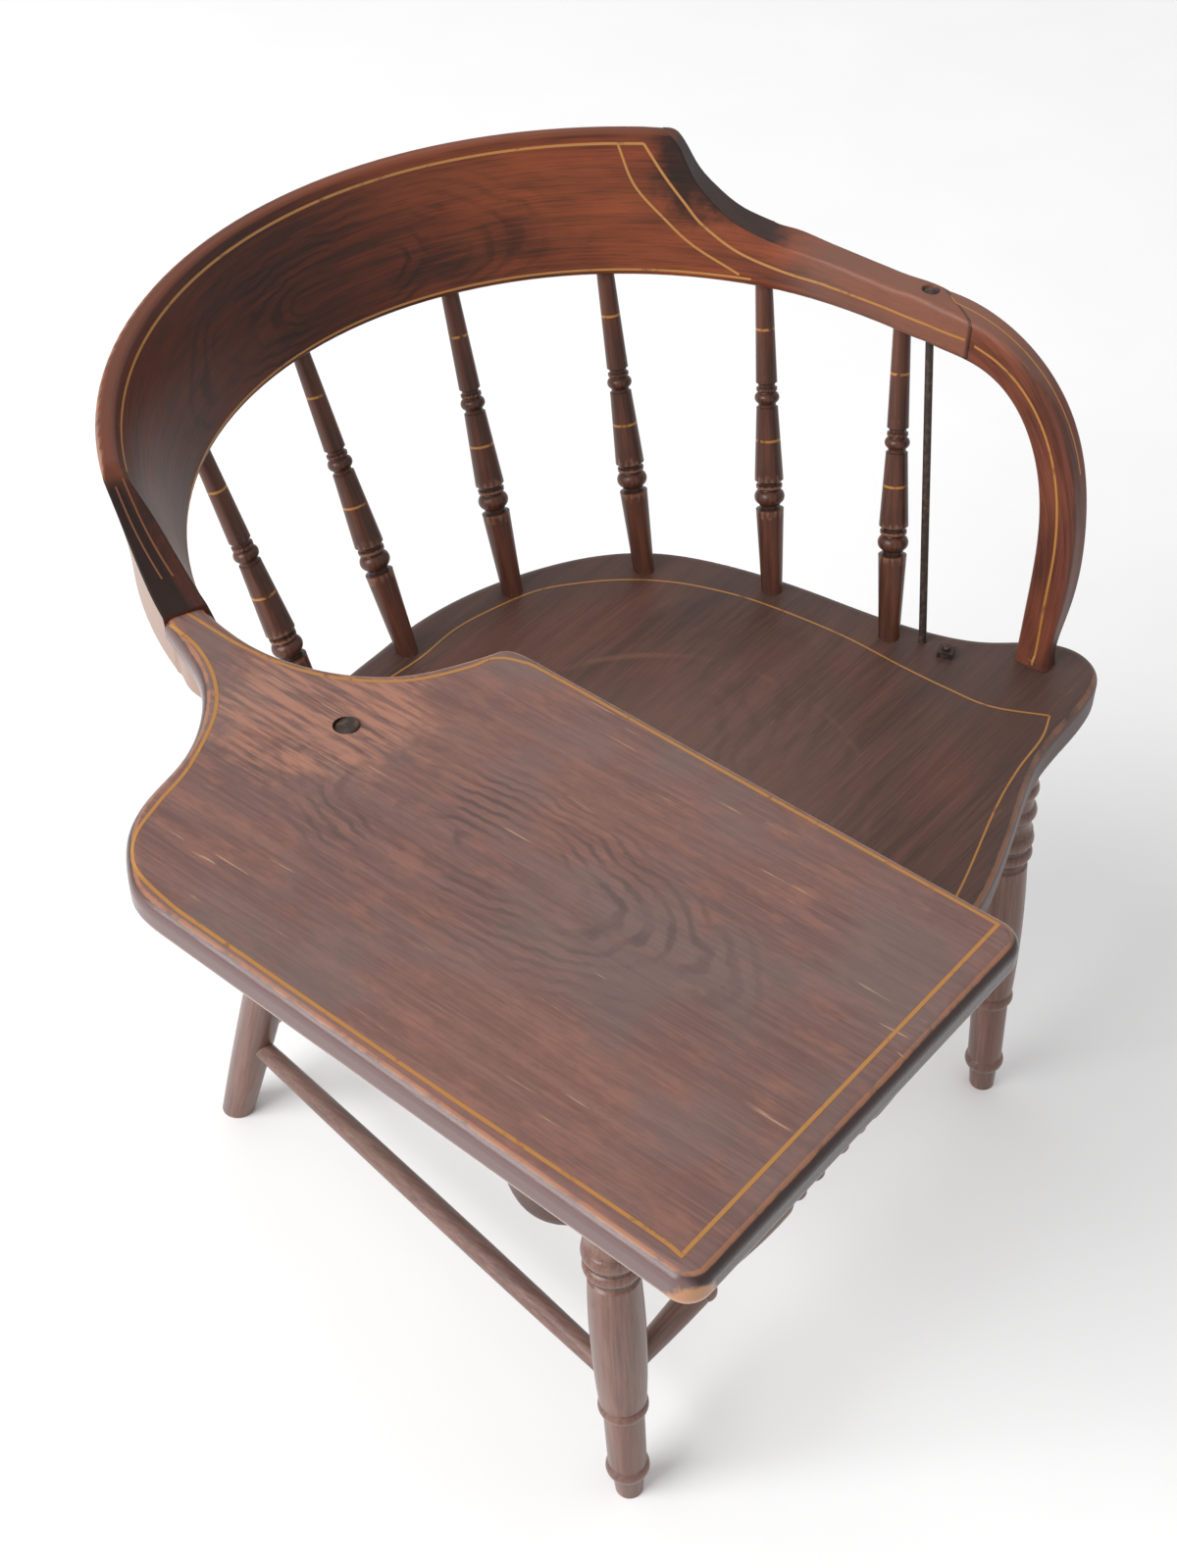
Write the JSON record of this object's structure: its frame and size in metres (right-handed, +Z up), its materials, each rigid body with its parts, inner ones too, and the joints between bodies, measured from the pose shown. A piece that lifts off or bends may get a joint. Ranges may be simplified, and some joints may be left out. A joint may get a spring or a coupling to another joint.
{
  "type": "writing arm windsor chair",
  "caption": "Low-back Windsor armchair with a bent rail, turned spindles and legs, and a broad writing tablet fixed on the right arm.",
  "frame": {"origin": "on the floor under the middle of the whole chair's bounding box", "axes": "+Z up; the sitter faces -Y; the sitter's left is +X and the writing tablet is on the -X side"},
  "size_m": [0.8227, 0.7495, 0.758],
  "materials": {
    "seat_wood": "worn dark red-brown grained paint, satin",
    "rail_wood": "worn dark red-brown grained paint, satin",
    "bow_wood": "worn dark red-brown grained paint, satin",
    "tablet_wood": "worn dark red-brown grained paint, satin",
    "spindle_wood": "worn dark red-brown grained paint, satin",
    "leg_wood": "worn dark red-brown grained paint, satin",
    "stretcher_wood": "worn dark red-brown grained paint, satin",
    "iron": "dark oxidised iron"
  },
  "bodies": {
    "root": {"seat": "seat_wood", "back_rail": "rail_wood", "arm_bow_left": "bow_wood", "arm_bow_right": "bow_wood", "writing_tablet": "tablet_wood", "spindle_back_centre": "spindle_wood", "spindle_left_1": "spindle_wood", "spindle_left_2": "spindle_wood", "spindle_left_3": "spindle_wood", "spindle_left_4": "spindle_wood", "spindle_right_1": "spindle_wood", "spindle_right_2": "spindle_wood", "spindle_right_3": "spindle_wood", "spindle_right_4": "spindle_wood", "leg_front_left": "leg_wood", "leg_front_right": "leg_wood", "leg_rear_left": "leg_wood", "leg_rear_right": "leg_wood", "stretcher_front": "stretcher_wood", "stretcher_rear": "stretcher_wood", "stretcher_left": "stretcher_wood", "stretcher_right": "stretcher_wood", "tie_rod_left": "iron", "tie_rod_right": "iron", "rod_washers": "iron", "rod_nuts": "iron", "seat_bolt": "iron", "seat_bolt_nut": "iron", "tablet_screws": "iron"}
  },
  "joints": []
}
